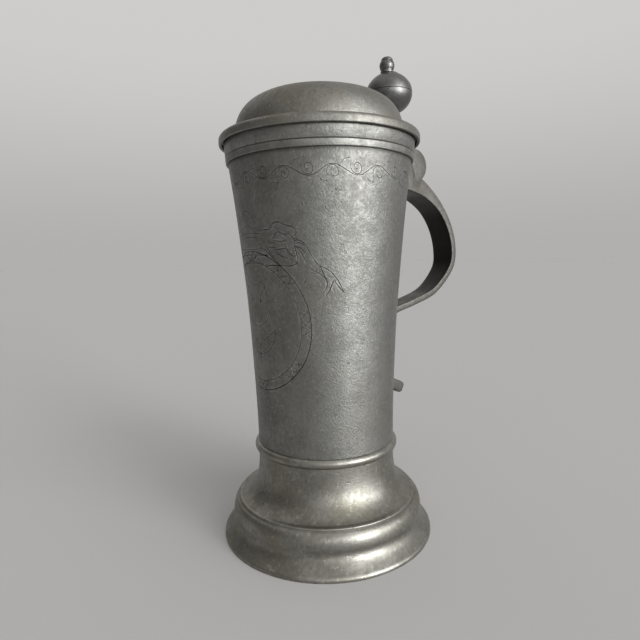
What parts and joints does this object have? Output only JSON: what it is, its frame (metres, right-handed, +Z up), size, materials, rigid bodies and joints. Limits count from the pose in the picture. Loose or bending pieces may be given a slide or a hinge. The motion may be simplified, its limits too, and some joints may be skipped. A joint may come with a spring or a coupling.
{
  "type": "lidded tankard",
  "caption": "Flaring drinking tankard on a hollow turned foot, with a strap handle and a domed lid that swings on a pin and opens with a ball thumbpiece.",
  "frame": {"origin": "on the table, under the middle of the bounding box", "axes": "+Z up along the drum's axis, +X from the drum towards the handle, +Y across the handle along the hinge pin"},
  "size_m": [0.1309, 0.096, 0.218],
  "materials": {
    "body_pewter": "aged pewter, dull with mottled patina",
    "foot_pewter": "aged pewter, worn brighter on its edges",
    "inner_pewter": "dull stained pewter",
    "handle_pewter": "aged pewter, smooth from handling",
    "lid_pewter": "aged pewter, lightly scratched",
    "dark_pewter": "dark oxidised pewter",
    "pin_iron": "dull iron"
  },
  "bodies": {
    "stein": {"foot": "foot_pewter", "drum": "body_pewter", "waist_band": "foot_pewter", "floor_disc": "inner_pewter", "handle": "handle_pewter", "hinge_pin": "pin_iron"},
    "lid_group": {"lid": "lid_pewter", "lid_lug": "handle_pewter", "thumb_ball_lower": "dark_pewter", "thumb_ball_upper": "dark_pewter", "thumb_finial": "dark_pewter"}
  },
  "joints": [
    {"name": "lid_hinge", "type": "hinge", "parent": "stein", "child": "lid_group", "pos_m": [0.03459, 0, 0.1683], "axis": [0, 1, 0], "range_deg": [0, 125]}
  ]
}
